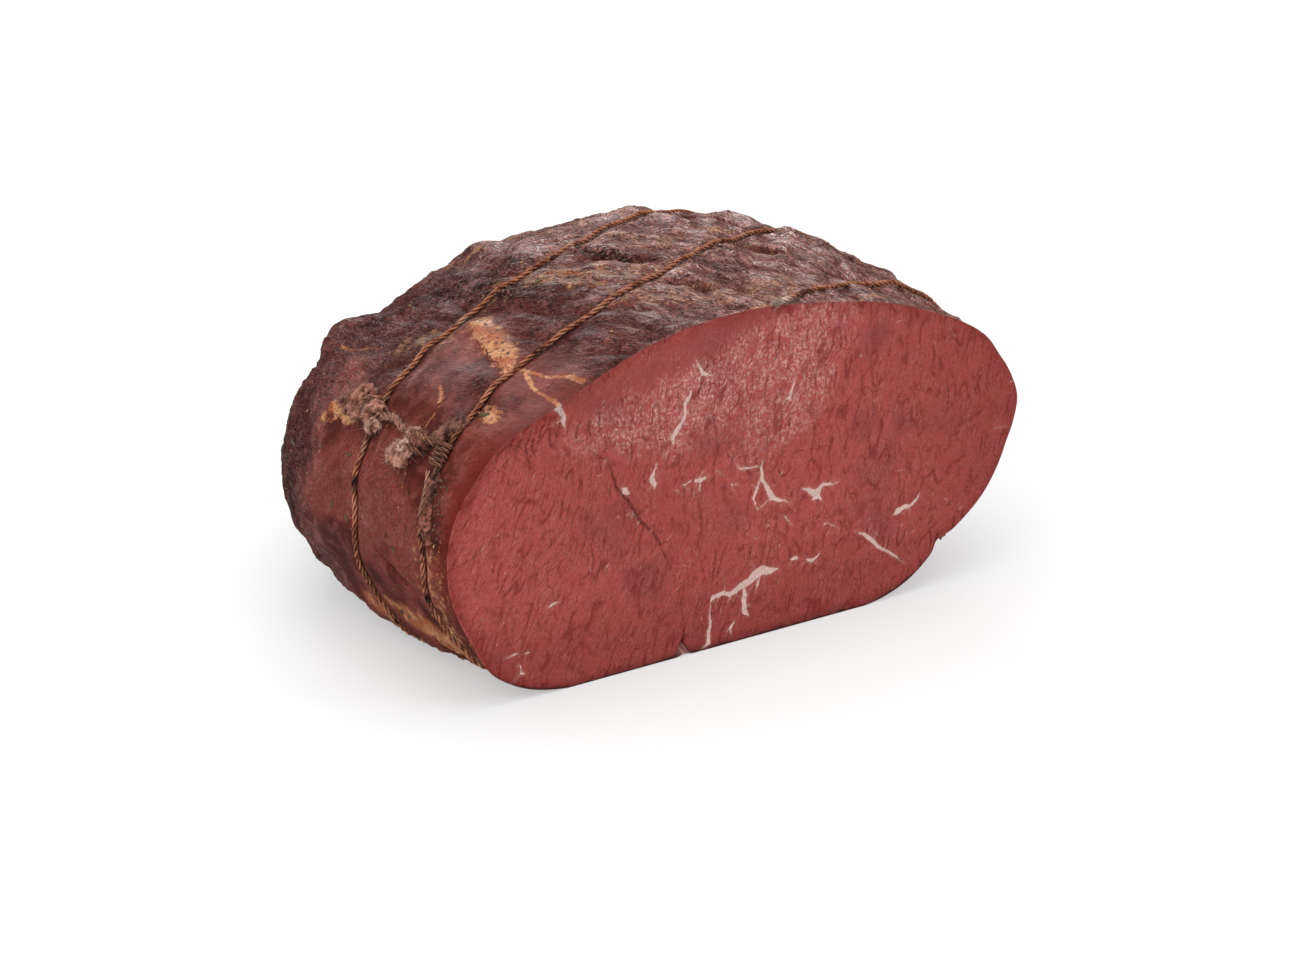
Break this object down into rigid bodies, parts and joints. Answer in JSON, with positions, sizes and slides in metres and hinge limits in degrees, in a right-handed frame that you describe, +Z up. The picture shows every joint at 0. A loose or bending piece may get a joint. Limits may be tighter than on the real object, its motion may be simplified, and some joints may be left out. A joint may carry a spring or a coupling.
{
  "type": "bresaola half",
  "caption": "Half of a smoked, air-dried beef muscle cut straight across, tied round with kitchen string and lying on its flat underside.",
  "frame": {"origin": "middle of the bounding box, on its underside", "axes": "+X along the width of the cut face, to the right as the face is looked at; +Y from the cut face back along the muscle; +Z up"},
  "size_m": [0.1806, 0.1434, 0.0883],
  "materials": {
    "cured_meat": "moist dark red cut face, dull purple-brown dried crust",
    "kitchen_string": "matt twisted cotton stained brown by smoke"
  },
  "bodies": {
    "root": {"meat": "cured_meat", "string_front": "kitchen_string", "string_rear": "kitchen_string", "string_cut": "kitchen_string"}
  },
  "joints": []
}
